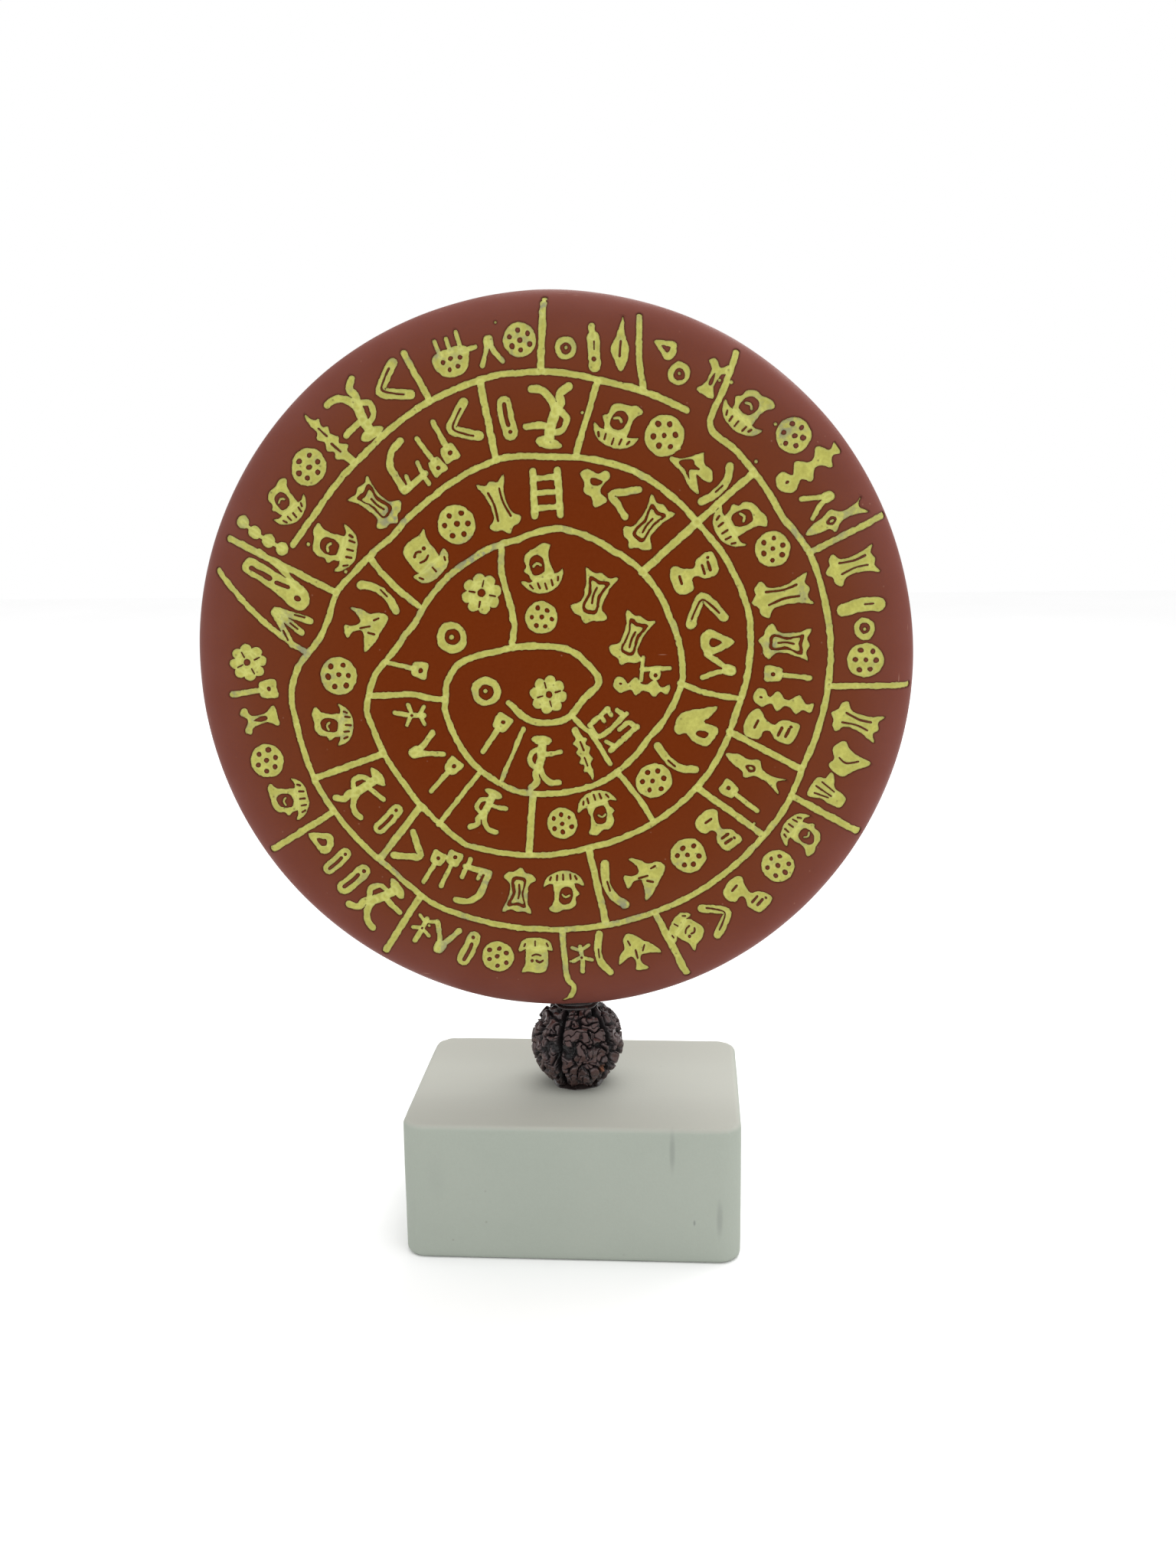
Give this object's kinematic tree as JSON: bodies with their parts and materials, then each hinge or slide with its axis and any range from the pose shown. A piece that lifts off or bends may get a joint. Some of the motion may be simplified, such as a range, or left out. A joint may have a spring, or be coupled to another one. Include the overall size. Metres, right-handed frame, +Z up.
{
  "type": "disc ornament",
  "caption": "Round disc with a cut spiral band of small pictures, standing on its rim on a grooved seed bead and a stone block.",
  "frame": {"origin": "centre of the block's underside, on the rod's axis", "axes": "+Z up along the rod; the disc's cut face looks along -Y; +X to the right seen from the front"},
  "size_m": [0.16, 0.054, 0.212],
  "materials": {
    "block_stone": "matt, honed, faint grey marks",
    "glue": "dark, smooth, set glue",
    "rod_steel": "drawn wire",
    "bead_seed": "dark, oiled, coarse network",
    "core_ceramic": "unglazed, fired",
    "ground_paint": "yellow-green, fine grain",
    "top_paint": "red-brown, smooth, soft gloss"
  },
  "bodies": {
    "root": {"block": "block_stone", "block_socket_glue": "glue", "block_glue_ring": "glue", "support_rod": "rod_steel", "seed_bead": "bead_seed", "disc_glue_collar": "glue", "disc_socket_glue": "glue", "disc_core": "core_ceramic", "ground_coat": "ground_paint", "top_coat_face": "top_paint", "top_coat_rim": "top_paint"}
  },
  "joints": []
}
